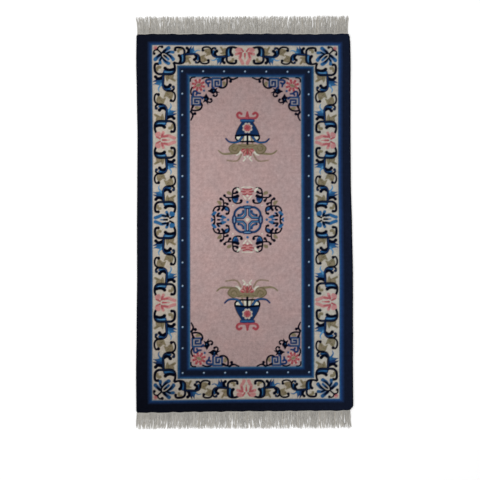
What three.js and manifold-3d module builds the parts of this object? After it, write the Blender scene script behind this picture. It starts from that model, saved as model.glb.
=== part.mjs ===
// Hand-knotted wool rug, lying flat, with a cotton warp fringe at each end.
// Millimetres, +Z up: X runs across the rug, Y along it to its far end, and Z = 0 is the floor.
import * as THREE from "three";
import { mergeVertices } from "three/addons/utils/BufferGeometryUtils.js";
import Module from "manifold-3d";

// Driving dimensions of the knotted cloth
const RUG_WIDTH = 914;
const RUG_LENGTH = 1608;
const CORNER_RADIUS = 9;
const CORNER_REACH = 27;
const SIDE_STEPS = 40;
const END_STEPS = 30;
const CORNER_STEPS = 4;

// The edge from the floor up: how high each level is and how far it lies inside the outline
const EDGE_LEVELS = [
  { height: 0, inset: 2.2 },
  { height: 1.4, inset: 0.6 },
  { height: 3.4, inset: 0 },
  { height: 7.6, inset: 0 },
  { height: 10.4, inset: 1.3 },
  { height: 12, inset: 4.2 },
];

// How far each long side strays from straight, to +X, by the share of the way from the near end
const SIDE_WAVER = [
  { share: 0.0, left: 0, right: 0 },
  { share: 0.1, left: -1.2, right: 0 },
  { share: 0.22, left: 1.0, right: 1.9 },
  { share: 0.36, left: 3.0, right: 3.7 },
  { share: 0.48, left: 2.4, right: 1.5 },
  { share: 0.6, left: 3.4, right: -2.0 },
  { share: 0.72, left: 4.6, right: -1.9 },
  { share: 0.84, left: 1.5, right: -0.6 },
  { share: 0.92, left: -1.2, right: 1.4 },
  { share: 1.0, left: 0, right: 0 },
];

// How far each end strays from straight, to +Y, by the share of the way from the left side
const END_WAVER = [
  { share: 0.0, near: -1.5, far: -0.8 },
  { share: 0.12, near: -2.2, far: 1.1 },
  { share: 0.22, near: -0.6, far: -0.7 },
  { share: 0.36, near: 0.4, far: 1.2 },
  { share: 0.5, near: 1.3, far: 0.7 },
  { share: 0.64, near: 0.8, far: 0.9 },
  { share: 0.8, near: 1.6, far: -1.2 },
  { share: 0.92, near: 1.2, far: 0.2 },
  { share: 1.0, near: 1.9, far: 0.4 },
];

// Driving dimensions of the fringe: a flat-woven end web with the warp ends tied off in strands
const STRANDS_PER_END = 140;
const CLEARANCE = 0.3;
const WEB_DEPTH = 6;
const WEB_HEIGHT = 3.4;
const WEB_CORNER_MARGIN = 3;
const WEB_STEPS = 60;
const ROOT_BITE = 3;
const STRAND_WIDTH = 4;
const STRAND_HEIGHT = 2.8;
const STRAND_LENGTH = { near: 63, far: 69 };
const LENGTH_SPREAD = 5;
const TIP_JITTER = 0.7;

// Numbers that stir the repeatable scatter of the strands, and one salt for each use of it and end
const SCATTER = { index: 12.9898, salt: 78.233, gain: 43758.5453 };
const LENGTH_SALT = { near: -1, far: 1 };
const TIP_SALT = { near: 2, far: 4 };

// Stations down a strand: share of its length, of its full section and of its sideways lean
const STRAND_STATIONS = [
  { along: 0, girth: 1, lean: 0 },
  { along: 0.35, girth: 1, lean: 0.14 },
  { along: 0.7, girth: 0.95, lean: 0.52 },
  { along: 1, girth: 0.6, lean: 1 },
];

// Slow sideways sweeps of the combed fringe: reach at the tips, wavelength along the end and phase
const FRINGE_SWEEPS = {
  near: [
    { reach: 4.5, wavelength: 610, phase: 0.4 },
    { reach: 2.2, wavelength: 190, phase: 2.1 },
  ],
  far: [
    { reach: 5, wavelength: 520, phase: 1.7 },
    { reach: 2.6, wavelength: 230, phase: 0.2 },
  ],
};

const woolMaterial = new THREE.MeshStandardMaterial({
  name: "wool_pile",
  color: 0xa58d8c,
  roughness: 0.95,
  metalness: 0,
});
const cottonMaterial = new THREE.MeshStandardMaterial({
  name: "cotton_fringe",
  color: 0xb4b0a8,
  roughness: 0.9,
  metalness: 0,
});

const wasm = await Module();
wasm.setup();

// Smooth value of one column of a table at a share between 0 and 1.
function tableAt(rows, share, column) {
  const last = rows.findIndex((row) => row.share >= share);
  if (last <= 0) return rows[0][column];
  const before = rows[last - 1];
  const after = rows[last];
  const way = (share - before.share) / (after.share - before.share);
  return THREE.MathUtils.lerp(before[column], after[column], THREE.MathUtils.smoothstep(way, 0, 1));
}

// X of a long side at place y of the plan.
function sideX(side, y) {
  const sign = side === "left" ? -1 : 1;
  const share = THREE.MathUtils.clamp(y / RUG_LENGTH + 0.5, 0, 1);
  return (sign * RUG_WIDTH) / 2 + tableAt(SIDE_WAVER, share, side);
}

// Y of an end at place x of the plan.
function endY(end, x) {
  const sign = end === "near" ? -1 : 1;
  const share = THREE.MathUtils.clamp(x / RUG_WIDTH + 0.5, 0, 1);
  return (sign * RUG_LENGTH) / 2 + tableAt(END_WAVER, share, end);
}

// Evenly spaced numbers from one value to another, both included.
function steps(from, to, count) {
  return Array.from({ length: count + 1 }, (_, i) => from + ((to - from) * i) / count);
}

// A rounded corner between an end and a side, from the first edge's direction to the next one's.
function corner(end, side, startAngle) {
  const acrossSign = side === "left" ? -1 : 1;
  const alongSign = end === "near" ? -1 : 1;
  const edgeX = sideX(side, (alongSign * RUG_LENGTH) / 2);
  const edgeY = endY(end, (acrossSign * RUG_WIDTH) / 2);
  const centreX = edgeX - acrossSign * CORNER_RADIUS;
  const centreY = edgeY - alongSign * CORNER_RADIUS;
  return steps(startAngle, startAngle + Math.PI / 2, CORNER_STEPS).map(
    (angle) =>
      new THREE.Vector2(
        centreX + CORNER_RADIUS * Math.cos(angle),
        centreY + CORNER_RADIUS * Math.sin(angle),
      ),
  );
}

// The rug's uneven outline, anticlockwise from the near end.
function rugOutline() {
  const alongReach = RUG_LENGTH / 2 - CORNER_REACH;
  const acrossReach = RUG_WIDTH / 2 - CORNER_REACH;
  const along = steps(-alongReach, alongReach, SIDE_STEPS);
  const across = steps(-acrossReach, acrossReach, END_STEPS);
  return [
    ...across.map((x) => new THREE.Vector2(x, endY("near", x))),
    ...corner("near", "right", -Math.PI / 2),
    ...along.map((y) => new THREE.Vector2(sideX("right", y), y)),
    ...corner("far", "right", 0),
    ...across.toReversed().map((x) => new THREE.Vector2(x, endY("far", x))),
    ...corner("far", "left", Math.PI / 2),
    ...along.toReversed().map((y) => new THREE.Vector2(sideX("left", y), y)),
    ...corner("near", "left", Math.PI),
  ];
}

// The outline moved inwards by an inset and lifted to a height.
function insetRing(outline, inset, height) {
  return outline.map((point, i) => {
    const before = outline.at(i - 1);
    const after = outline[(i + 1) % outline.length];
    const tangent = after.clone().sub(before).normalize();
    return new THREE.Vector3(point.x - tangent.y * inset, point.y + tangent.x * inset, height);
  });
}

// A closed geometry through like sections, each turning anticlockwise seen from the last one.
function loft(sections) {
  const size = sections[0].length;
  const points = sections.flat();
  const faces = [];
  for (let s = 0; s + 1 < sections.length; s += 1) {
    for (let i = 0; i < size; i += 1) {
      const next = (i + 1) % size;
      const low = s * size;
      const high = low + size;
      faces.push(low + i, low + next, high + next, low + i, high + next, high + i);
    }
  }
  const cap = (ring, first, flip) => {
    const middle = points.length;
    const sum = ring.reduce((total, point) => total.add(point), new THREE.Vector3());
    points.push(sum.divideScalar(size));
    for (let i = 0; i < size; i += 1) {
      const next = (i + 1) % size;
      faces.push(middle, first + (flip ? next : i), first + (flip ? i : next));
    }
  };
  cap(sections[0], 0, true);
  cap(sections.at(-1), (sections.length - 1) * size, false);
  return new THREE.BufferGeometry().setFromPoints(points).setIndex(faces);
}

// A manifold solid of a closed geometry.
function toSolid(geometry) {
  const bare = new THREE.BufferGeometry();
  bare.setAttribute("position", geometry.getAttribute("position"));
  bare.setIndex(geometry.getIndex());
  const merged = mergeVertices(bare);
  return new wasm.Manifold(
    new wasm.Mesh({
      numProp: 3,
      vertProperties: new Float32Array(merged.getAttribute("position").array),
      triVerts: new Uint32Array(merged.getIndex().array),
    }),
  );
}

// A geometry of a manifold solid.
function toGeometry(solid) {
  const { vertProperties, triVerts } = solid.getMesh();
  const geometry = new THREE.BufferGeometry();
  geometry.setAttribute("position", new THREE.BufferAttribute(vertProperties, 3));
  geometry.setIndex(new THREE.BufferAttribute(triVerts, 1));
  geometry.computeVertexNormals();
  return geometry;
}

// Repeatable scatter from -1 to 1 for the n-th strand.
function scatter(n, salt) {
  const noise = Math.sin(n * SCATTER.index + salt * SCATTER.salt) * SCATTER.gain;
  return 2 * (noise - Math.floor(noise)) - 1;
}

// The woven pile cloth: one slab with a soft shoulder all round.
function pileCloth() {
  const outline = rugOutline();
  const geometry = loft(EDGE_LEVELS.map(({ height, inset }) => insetRing(outline, inset, height)));
  geometry.computeVertexNormals();
  return geometry;
}

// The flat-woven end web, a thin bar that follows the rug's end at a small gap.
function endWeb(end, halfLength) {
  const sign = end === "near" ? -1 : 1;
  const sections = steps(-halfLength, halfLength, WEB_STEPS).map((x) => {
    const inner = endY(end, x) + sign * CLEARANCE;
    const outer = inner + sign * WEB_DEPTH;
    const low = Math.min(inner, outer);
    const high = Math.max(inner, outer);
    return [
      new THREE.Vector3(x, low, 0),
      new THREE.Vector3(x, high, 0),
      new THREE.Vector3(x, high, WEB_HEIGHT),
      new THREE.Vector3(x, low, WEB_HEIGHT),
    ];
  });
  return loft(sections);
}

// One strand: a three-sided yarn that lies level on the floor and leans to one side at its tip.
function strand(end, index, rootX) {
  const sign = end === "near" ? -1 : 1;
  const rootY = endY(end, rootX) + sign * (CLEARANCE + WEB_DEPTH - ROOT_BITE);
  const length = ROOT_BITE + STRAND_LENGTH[end] + LENGTH_SPREAD * scatter(index, LENGTH_SALT[end]);
  const sweep = FRINGE_SWEEPS[end].reduce(
    (total, { reach, wavelength, phase }) =>
      total + reach * Math.sin((2 * Math.PI * rootX) / wavelength + phase),
    TIP_JITTER * scatter(index, TIP_SALT[end]),
  );
  const sections = STRAND_STATIONS.map(({ along, girth, lean }) => {
    const x = rootX + sweep * lean;
    const y = rootY + sign * length * along;
    const half = (sign * STRAND_WIDTH * girth) / 2;
    return [
      new THREE.Vector3(x + half, y, 0),
      new THREE.Vector3(x - half, y, 0),
      new THREE.Vector3(x, y, STRAND_HEIGHT * girth),
    ];
  });
  return loft(sections);
}

// An end's fringe: the strands' roots are fused into the end web.
function fringe(end) {
  const halfLength = RUG_WIDTH / 2 - CORNER_RADIUS - WEB_CORNER_MARGIN;
  const reach = halfLength - STRAND_WIDTH;
  let solid = toSolid(endWeb(end, halfLength));
  steps(-reach, reach, STRANDS_PER_END - 1).forEach((x, index) => {
    solid = solid.add(toSolid(strand(end, index, x)));
  });
  return toGeometry(solid);
}

function namedMesh(name, geometry, material) {
  const mesh = new THREE.Mesh(geometry, material);
  mesh.name = name;
  return mesh;
}

// The whole rug, set so that the middle of its plan is over the origin.
const rug = new THREE.Group();
const cloth = new THREE.Group();
cloth.add(
  namedMesh("pile_cloth", pileCloth(), woolMaterial),
  namedMesh("fringe_near", fringe("near"), cottonMaterial),
  namedMesh("fringe_far", fringe("far"), cottonMaterial),
);
const middle = new THREE.Box3().setFromObject(cloth).getCenter(new THREE.Vector3());
cloth.position.set(-middle.x, -middle.y, 0);
rug.add(cloth);

export default rug;
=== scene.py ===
import math
from functools import lru_cache
from typing import NamedTuple

import bpy
import numpy as np
from mathutils import Color, Matrix, Vector


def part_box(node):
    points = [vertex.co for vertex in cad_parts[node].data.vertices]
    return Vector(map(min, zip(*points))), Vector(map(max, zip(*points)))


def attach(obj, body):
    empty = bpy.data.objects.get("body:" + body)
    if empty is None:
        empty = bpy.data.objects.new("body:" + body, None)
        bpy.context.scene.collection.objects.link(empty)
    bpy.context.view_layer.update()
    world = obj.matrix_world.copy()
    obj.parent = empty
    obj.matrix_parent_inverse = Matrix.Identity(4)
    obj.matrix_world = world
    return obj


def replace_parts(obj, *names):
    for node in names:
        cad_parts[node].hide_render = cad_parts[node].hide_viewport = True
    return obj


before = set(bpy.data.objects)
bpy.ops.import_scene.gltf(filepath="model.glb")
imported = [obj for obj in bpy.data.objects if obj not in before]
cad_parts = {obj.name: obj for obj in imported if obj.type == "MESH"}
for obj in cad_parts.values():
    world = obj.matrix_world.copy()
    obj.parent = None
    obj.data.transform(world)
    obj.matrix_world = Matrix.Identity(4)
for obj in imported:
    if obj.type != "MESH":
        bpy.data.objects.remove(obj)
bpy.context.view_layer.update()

bl_info = {
    "name": "Hand-knotted rug",
    "version": (1, 0, 0),
    "blender": (4, 5, 0),
    "location": "View3D > Sidebar > Rug",
    "description": "Knots a carved wool rug with a medallion, vases, corner frets and a scroll border",
    "category": "Object",
}

# The design is drawn in millimetres on the straight rug, X across and Y along, and built in metres.
MM = 0.001
FOOT = 304.8
TINY = 1e-9
CLOTH_LOW, CLOTH_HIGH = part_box("pile_cloth")
CLOTH_MIDDLE = (CLOTH_LOW + CLOTH_HIGH) / 2
PILE_CLEARANCE = 0.0003


# Sizes and wools that a user would change

def length(name, description, default):
    """A size in metres."""
    return bpy.props.FloatProperty(
        name=name, description=description, default=default, min=0.0, precision=4,
        subtype="DISTANCE", unit="LENGTH")


def dye(name, description, red, green, blue):
    """A colour as it is seen, given from 0 to 255."""
    return bpy.props.FloatVectorProperty(
        name=name, description=description, default=(red / 255, green / 255, blue / 255),
        min=0.0, max=1.0, size=3, subtype="COLOR_GAMMA")


class RugSizes(bpy.types.PropertyGroup):
    """Sizes of the knotted cloth, its edges and its fringe."""

    width: length("Width", "Width of the knotted cloth", 0.914)
    length: length("Length", "Length of the knotted cloth without its fringe", 1.608)
    pile_top: length("Pile top", "Height of the cut pile over the floor", CLOTH_HIGH.z - PILE_CLEARANCE)
    knots_per_foot: bpy.props.IntProperty(
        name="Knots per foot", description="Knots to the foot, across and along", default=120, min=30)
    carving: length("Carving", "Depth of the shears' groove where the wool changes colour", 0.0011)
    ground: length("Ground", "Thickness of the woven ground under the pile", 0.0032)
    overcast: length("Overcast edge", "Width of the overcast cord along each long side", 0.0066)
    yarn: length("Fringe yarn", "Thickness of a fringe yarn", 0.0025)
    yarns: bpy.props.IntProperty(
        name="Fringe yarns", description="Number of yarns at each end", default=640, min=10)


class RugWools(bpy.types.PropertyGroup):
    """Dyed wools of the pile and the undyed cotton of the fringe."""

    ink: dye("Ink", "Blue-black of the outlines", 2, 4, 18)
    navy: dye("Navy", "Ground of the outer border", 12, 15, 26)
    night: dye("Night blue", "Ground of the pearl guard", 19, 26, 43)
    deep: dye("Deep blue", "First step up from navy", 19, 32, 57)
    royal: dye("Royal blue", "Second step up from navy", 22, 44, 83)
    mid: dye("Middle blue", "Third step up from navy", 31, 69, 106)
    vase: dye("Vase blue", "Body of the vases and ring of the roundel", 17, 41, 76)
    edge: dye("Edge blue", "Lightest row of the graded bands", 54, 90, 118)
    petal: dye("Petal blue", "Petals and leaves", 38, 84, 124)
    sky: dye("Sky blue", "Lightest blue", 76, 122, 156)
    cream: dye("Cream", "Ground of the scroll border", 166, 158, 147)
    pink: dye("Dusty pink", "Ground of the field", 161, 137, 135)
    rose: dye("Rose", "Corner roses, vase stands and lotus", 137, 59, 66)
    coral: dye("Coral", "Heart of the pink border flowers", 146, 76, 80)
    blush: dye("Blush", "Petals of the pink flowers", 166, 115, 113)
    olive: dye("Olive", "Leaves", 113, 103, 80)
    moss: dye("Moss", "Veins and outlines of the leaves", 90, 80, 58)
    straw: dye("Straw", "Thin pale leaves", 124, 108, 92)
    ash: dye("Ash", "Gaps of the corner frets", 134, 130, 132)
    ivory: dye("Ivory", "White petals", 182, 182, 168)
    pearl: dye("Pearl", "Pearls of the guard stripe", 158, 174, 186)
    cotton: dye("Cotton", "Undyed warp yarn", 166, 163, 157)


def sizes():
    """The sizes that the scene holds."""
    return bpy.context.scene.rug_sizes


@lru_cache(maxsize=None)
def wool(name):
    """A wool's colour as light, which is what a shader reads."""
    seen = Color(getattr(bpy.context.scene.rug_wools, name))
    return np.array(seen.from_srgb_to_scene_linear())


# Marks of the design, in millimetres of their own motif

class Line(NamedTuple):
    """A drawn line through some points, which may thin out to a tip."""

    wool: str
    width: float
    route: list
    tip: float = None
    straight: bool = False


class Patch(NamedTuple):
    """A filled shape with a soft or straight-sided outline."""

    wool: str
    outline: list
    straight: bool = False


class Spot(NamedTuple):
    """A round dot."""

    wool: str
    size: float
    place: tuple


class Place(NamedTuple):
    """Where a motif goes: its origin and the plan directions of its two axes."""

    origin: tuple
    first: tuple = (1, 0)
    second: tuple = (0, 1)

    def put(self, points):
        """Plan places of some points of the motif."""
        across, along = np.asarray(points, float).T[..., None]
        return np.array(self.origin) + across * np.array(self.first) + along * np.array(self.second)

    def scale(self):
        """How many times its own size the motif gets, as a length."""
        return math.sqrt(abs(self.first[0] * self.second[1] - self.first[1] * self.second[0]))

    def flipped(self):
        """The same place for the motif's mirror image."""
        return self._replace(first=(-self.first[0], -self.first[1]))


# Steps of a smooth curve between two of its points
CURVE_STEPS = 6


def smooth_route(points, closed=False):
    """A smooth curve through the points."""
    points = np.asarray(points, float)
    if closed:
        start_before, starts, ends, end_after = (np.roll(points, shift, 0) for shift in (1, 0, -1, -2))
    else:
        padded = np.vstack([2 * points[0] - points[1], points, 2 * points[-1] - points[-2]])
        start_before, starts, ends, end_after = padded[:-3], padded[1:-2], padded[2:-1], padded[3:]
    share = np.linspace(0, 1, CURVE_STEPS, endpoint=False)[None, :, None]
    a, b, c, d = (x[:, None, :] for x in (start_before, starts, ends, end_after))
    curve = b + share * ((c - a) / 2 + share * (a - 2.5 * b + 2 * c - d / 2
                                                + share * (1.5 * (b - c) + (d - a) / 2)))
    curve = curve.reshape(-1, 2)
    return curve if closed else np.vstack([curve, points[-1]])


def ring(centre, reach, count, turn):
    """Places evenly round a centre, the first of them turned by a share of a step."""
    angles = [2 * math.pi * (i + turn) / count for i in range(count)]
    return [(centre[0] + reach * math.cos(angle), centre[1] + reach * math.sin(angle)) for angle in angles]


def nearest(x, y, starts, ends):
    """How far places lie from each of some straight stretches, and which share of its run is nearest."""
    start, step = starts[:, :, None, None], (ends - starts)[:, :, None, None]
    reach = np.maximum((step ** 2).sum(1), TINY)
    share = np.clip(((x - start[:, 0]) * step[:, 0] + (y - start[:, 1]) * step[:, 1]) / reach, 0, 1)
    gap = np.hypot(x - start[:, 0] - share * step[:, 0], y - start[:, 1] - share * step[:, 1])
    return gap, share


# How much wider than drawn an ink line is knotted, and how much of that goes by the right edge
INK_BLOOM = 1.4
INK_THINNER_TO_RIGHT = 1.2


class KnotChart:
    """The weaver's chart: the wool of every knot of the rug."""

    def __init__(self):
        knot = FOOT / sizes().knots_per_foot
        self.half_width = (sizes().width / 2 - EDGE_CORD_ROOM) / MM
        self.half_length = sizes().length / 2 / MM
        self.columns = round(2 * self.half_width / knot)
        self.rows = round(2 * self.half_length / knot)
        self.across = np.linspace(-self.half_width, self.half_width, self.columns + 1)
        self.along = np.linspace(-self.half_length, self.half_length, self.rows + 1)
        self.knot = knot
        self.colour = np.empty((self.rows + 1, self.columns + 1, 3))
        self.colour[:] = wool("pink")

    def shares(self):
        """How far across and along each knot lies, from -1 to 1."""
        return self.across[None, :] / self.half_width, self.along[:, None] / self.half_length

    def window(self, points, margin):
        """The knots round some points, as slices and as their places."""
        low, high = points.min(0) - margin, points.max(0) + margin
        columns = slice(*np.searchsorted(self.across, (low[0], high[0])))
        rows = slice(*np.searchsorted(self.along, (low[1], high[1])))
        return (rows, columns), self.across[None, None, columns], self.along[None, rows, None]

    def cover(self, area, distance, colour):
        """Lays a wool on the knots of an area that lie inside a shape."""
        share = np.clip(0.5 - distance / self.knot, 0, 1)[..., None]
        self.colour[area] += share * (colour - self.colour[area])

    def line(self, points, widths, colour):
        """Lays a line whose width changes along it."""
        area, x, y = self.window(points, widths.max())
        gap, share = nearest(x, y, points[:-1], points[1:])
        radius = (widths[:-1, None, None] + share * np.diff(widths)[:, None, None]) / 2
        if gap.size:
            self.cover(area, (gap - radius).min(0), colour)

    def patch(self, points, colour):
        """Fills an outline: a knot is inside it if an odd number of its sides lie to the knot's right."""
        area, x, y = self.window(points, self.knot)
        ends = np.roll(points, -1, 0)
        gap, _ = nearest(x, y, points, ends)
        (start_x, start_y), (end_x, end_y) = (corners.T[..., None, None] for corners in (points, ends))
        rise = np.where(end_y == start_y, TINY, end_y - start_y)
        crossing = start_x + (y - start_y) * (end_x - start_x) / rise
        crossed = ((start_y > y) != (end_y > y)) & (x < crossing)
        if gap.size:
            inside = crossed.sum(0) % 2 == 1
            self.cover(area, np.where(inside, -1, 1) * gap.min(0), colour)

    def draw(self, marks, *places):
        """Draws a motif's marks at each of some places."""
        for place in places:
            for mark in marks:
                if isinstance(mark, Patch):
                    outline = mark.outline if mark.straight else smooth_route(mark.outline, closed=True)
                    self.patch(place.put(outline), wool(mark.wool))
                    continue
                if isinstance(mark, Spot):
                    route, root, tip = [mark.place, mark.place], mark.size, mark.size
                else:
                    route = mark.route if mark.straight else smooth_route(mark.route)
                    root, tip = mark.width, mark.width if mark.tip is None else mark.tip
                widths = np.linspace(root, tip, len(route))
                if mark.wool == "ink":
                    rightward = max(place.origin[0], 0) / self.half_width
                    bloom = INK_BLOOM - INK_THINNER_TO_RIGHT * rightward
                    widths = widths * math.sqrt(place.scale()) + bloom
                else:
                    widths = widths * place.scale()
                self.line(place.put(route), widths, wool(mark.wool))

    def colours_at(self, x, y):
        """The colours of the knots nearest to some places."""
        columns = np.rint((x + self.half_width) / (2 * self.half_width) * self.columns)
        rows = np.rint((y + self.half_length) / (2 * self.half_length) * self.rows)
        columns, rows = np.clip(columns, 0, self.columns), np.clip(rows, 0, self.rows)
        return self.colour[rows.astype(int), columns.astype(int)]


# Bands of the design, from the outer edge in

EDGE_CORD_ROOM = 0.0046
DESIGN_SHIFT = np.array((5.7, 0.2))


class Band(NamedTuple):
    """Where a band starts, as half sizes of its outer rectangle, and the wools it runs through inwards."""

    half_width: float
    half_length: float
    wools: tuple


BANDS = (
    Band(480, 840, ("navy",)),
    Band(414, 769, ("deep", "deep", "royal", "royal", "mid", "mid")),
    Band(394.7, 753, ("cream",)),
    Band(290, 666.4, ("edge", "mid", "royal", "deep")),
    Band(273.5, 650, ("night",)),
    Band(253, 633, ("deep", "royal", "mid", "edge")),
    Band(235.5, 615.5, ("pink",)),
)
DESIGN_MIDDLE = Band(0, 0, ())
OUTER_BAND, SCROLL_BAND, GUARD_BAND, FIELD_BAND = BANDS[0], BANDS[2], BANDS[3], BANDS[6]

# Shares of light lost, and light added in red, green and blue
INNER_DARKER_TO_ENDS = 0.2
INNER_DARKER_TO_FAR = 0.09
FIELD_DARKER_TO_RIGHT = 0.06
BLUER = (0.003, 0.0052, 0.013)
BLUER_FROM, BLUER_TO_RIGHT, BLUER_TO_FAR = 0.35, 0.5, 0.25
BLUER_INSIDE = 0.25
COOLER_TO_RIGHT = (0, 0.09, 0.15)


def outside(chart, half_width, half_length):
    """How far each knot lies outside a rectangle about the design's middle: less than zero is inside."""
    across, along = chart.across - DESIGN_SHIFT[0], chart.along - DESIGN_SHIFT[1]
    return np.maximum(np.abs(across)[None, :] - half_width, np.abs(along)[:, None] - half_length)


def paint_bands(chart):
    """The plain and graded bands, each laid over the last, then painted shade: darker to the ends inside
    the guard and to the right in the field.
    """
    for band, inner in zip(BANDS, BANDS[1:] + (DESIGN_MIDDLE,)):
        steps = len(band.wools)
        for i, name in enumerate(band.wools):
            half_width = band.half_width + (inner.half_width - band.half_width) * i / steps
            half_length = band.half_length + (inner.half_length - band.half_length) * i / steps
            chart.cover(slice(None), outside(chart, half_width, half_length), wool(name))
    # Painted shade over the inner bands and the field
    across, along = chart.shares()
    inner = outside(chart, GUARD_BAND.half_width, GUARD_BAND.half_length) < 0
    field = outside(chart, FIELD_BAND.half_width, FIELD_BAND.half_length) < 0
    darker = INNER_DARKER_TO_ENDS * inner * along ** 2 + FIELD_DARKER_TO_RIGHT * field * across
    chart.colour *= (1 - darker)[..., None]


def paint_glare(chart):
    """The light: bluer outside and to the right, and lower at the far end of the inner bands."""
    across, along = chart.shares()
    outer = outside(chart, SCROLL_BAND.half_width, SCROLL_BAND.half_length) > 0
    bluer = np.clip(BLUER_FROM + BLUER_TO_RIGHT * across + BLUER_TO_FAR * along, 0, 1)
    bluer *= np.where(outer, 1, BLUER_INSIDE)
    cooler = 1 + np.clip(across, 0, 1)[..., None] ** 2 * COOLER_TO_RIGHT
    guard_x, guard_y = GUARD_BAND.half_width / chart.half_width, GUARD_BAND.half_length / chart.half_length
    inner = (np.abs(across) < guard_x) & (along < guard_y)
    lower = 1 - INNER_DARKER_TO_FAR * inner * np.clip(along, 0, 1) ** 2
    chart.colour = chart.colour * cooler * lower[..., None] + bluer[..., None] * BLUER


# Pearls of the guard stripe

PEARL = [Spot("mid", 9, (0, -1)), Spot("pearl", 5.6, (0, 0.4))]
PEARL_REACH = (268, 641)
PEARLS_ACROSS = 7
PEARLS_ALONG = (-537, -448, -363, -274, -175, -81, 12, 104, 192, 278, 367, 453, 544)


def paint_pearls(chart):
    """Pearls in even rows along the ends and, at listed places, along the sides."""
    reach_x, reach_y = PEARL_REACH
    places = [(x, y) for x in np.linspace(-reach_x, reach_x, PEARLS_ACROSS) for y in (-reach_y, reach_y)]
    places += [(x, y) for y in PEARLS_ALONG for x in (-reach_x, reach_x)]
    chart.draw(PEARL, *(Place(DESIGN_SHIFT + place) for place in places))


# The scroll border: half a scroll, from a flower's middle out, its leafy blue side at negative second axis

SCROLL_REACH = 169
SCROLL_HALF_WIDTH = 53

SCROLL = [
    Patch("olive", [(76, -37), (76, -5), (90, -3), (105, -10), (95, -18), (98, -27), (105, -42), (99, -47),
                    (91, -37), (84, -39)]),
    Line("moss", 3, [(80, -16), (90, -15), (97, -38)]),
    Line("straw", 3, [(81, -30), (88, -28), (93, -20)]),
    Patch("olive", [(147, -31), (145, -6), (156, 0), (169, 5), (165, -8), (173, -18), (177, -28),
                    (160, -36)]),
    Line("moss", 3, [(152, -10), (160, -17), (170, -25)]),
    Line("straw", 3, [(151, -27), (158, -25), (163, -12)]),
    Patch("olive", [(44, 14), (41, 26), (48, 35), (64, 37), (62, 27), (54, 25), (53, 16)]),
    Line("ink", 7.5, [(142, -27), (149, -39), (160, -44), (174, -43), (183, -37), (182, -29)]),
    Spot("ink", 13, (181, -27)),
    Patch("royal", [(88, 6), (92, 28), (97, 38), (106, 51), (106, 33), (104, 6)]),
    Patch("mid", [(98, 6), (101, 31), (109, 38), (117, 50), (115, 31), (114, 6)]),
    Patch("petal", [(107, 6), (110, 29), (116, 41), (119, 28), (124, 8)]),
    Line("sky", 9, [(116, 14), (124, 21), (134, 27), (145, 24)], tip=3.5),
    Line("deep", 6, [(94, 8), (97, 22), (98, 36)], tip=3),
    Line("ink", 13.5, [(87, 8), (92.5, 20), (92.5, 31), (87, 38)], tip=12),
    Spot("ink", 13.5, (86, 39)),
    Patch("royal", [(126, 5), (127, -20), (133, -29), (140, -20), (140, -5), (133, 4)]),
    Line("petal", 7, [(132, -3), (133, -13), (134, -23)], tip=5),
    Line("ink", 12, [(122, 3), (127, -6), (126, -15), (120, -22)]),
    Spot("ink", 14, (119, -23)),
    Line("ink", 10.5, [(73, 5), (98, 6), (121, 7), (134, 2), (141, -10), (142, -27), (136, -38),
                       (127, -39)], tip=8),
    Line("royal", 4, [(79, 6), (98, 7), (121, 8), (132, 4), (139, -8)]),
    Spot("deep", 13, (126, -36)),
    Patch("royal", [(57, -38), (59, -20), (58, 2), (65, 7), (74, 5), (74, -26), (69, -38)]),
    Line("petal", 8, [(64, -33), (66, -18), (66, 0)], tip=8),
    Line("sky", 3.5, [(65, -29), (67, -14), (67, -2)]),
    Line("ink", 12, [(55, -37), (58, -26), (57.5, -14), (53, -3)], tip=12),
    Spot("ink", 14, (51.5, -2)),
    Line("ink", 9.5, [(31, -39), (42, -43), (57, -43.5), (69, -38.5), (75, -26), (75, 0), (74.5, 26),
                      (65.5, 39), (53, 42), (40, 41.5), (34, 37), (33.5, 29)], tip=10.5),
    Line("deep", 3, [(63, -40), (72, -31), (75, -6), (75, 22)]),
    Spot("ink", 12, (33.5, 28)),
]


def peony(heart, petal):
    """Half an open flower, its short petals at negative second axis and its long ones at positive."""
    return [
        Patch(petal, [(23, -43), (31, -38), (36, -29), (34, -21), (25, -19), (16, -22), (9, -31),
                      (12, -39)]),
        Line(petal, 13, [(18, -13), (26, -10), (32, -7)], tip=13),
        Line(petal, 13, [(15, -2), (18.5, 14), (13, 28), (8.5, 41)], tip=15),
        Line(petal, 7.5, [(0, 0), (0, 9), (0, 19)], tip=4),
        Line(heart, 8, [(6.5, -21.5), (9.5, -28.5), (13, -36)], tip=6),
        Line(heart, 9, [(13, -14), (19, -12), (24, -10)], tip=8),
        Line(heart, 8, [(14.5, -8), (16, 1), (17, 11)], tip=6.5),
        Line(heart, 8.5, [(0, -9), (0, -2), (0, 5)], tip=6),
    ]


PINK_PEONY = peony("coral", "blush")
BLUE_PEONY = peony("ink", "petal")
CORNER_FLOWER = [
    Line("petal", 14, [(10, -6), (25, -6), (38, -5)], tip=17),
    Line("petal", 11, [(16, 7), (27, 11), (36, 21)], tip=14),
    Line("petal", 15, [(10, 12), (15, 27), (13, 44)], tip=18),
    Line("petal", 9.5, [(0, 10), (0, 20), (0, 31)], tip=11),
    Line("royal", 12, [(14, -7), (21, -7), (29, -6)], tip=8),
    Line("royal", 11, [(12, 18), (14.5, 28), (13.5, 37)], tip=8),
    Line("ink", 13, [(8, -5), (14, -6.5), (22, -7)], tip=7),
    Line("ink", 7.5, [(6, 2), (16, 7), (27, 11)], tip=6.5),
    Line("ink", 12, [(8, 9), (12, 18), (14, 29)], tip=7),
    Line("ink", 7.5, [(0, 7), (0, 13), (0, 20)], tip=4),
    Line("cream", 3, [(0, -2), (6, 5), (7.5, 24), (4, 45)]),
]
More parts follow.
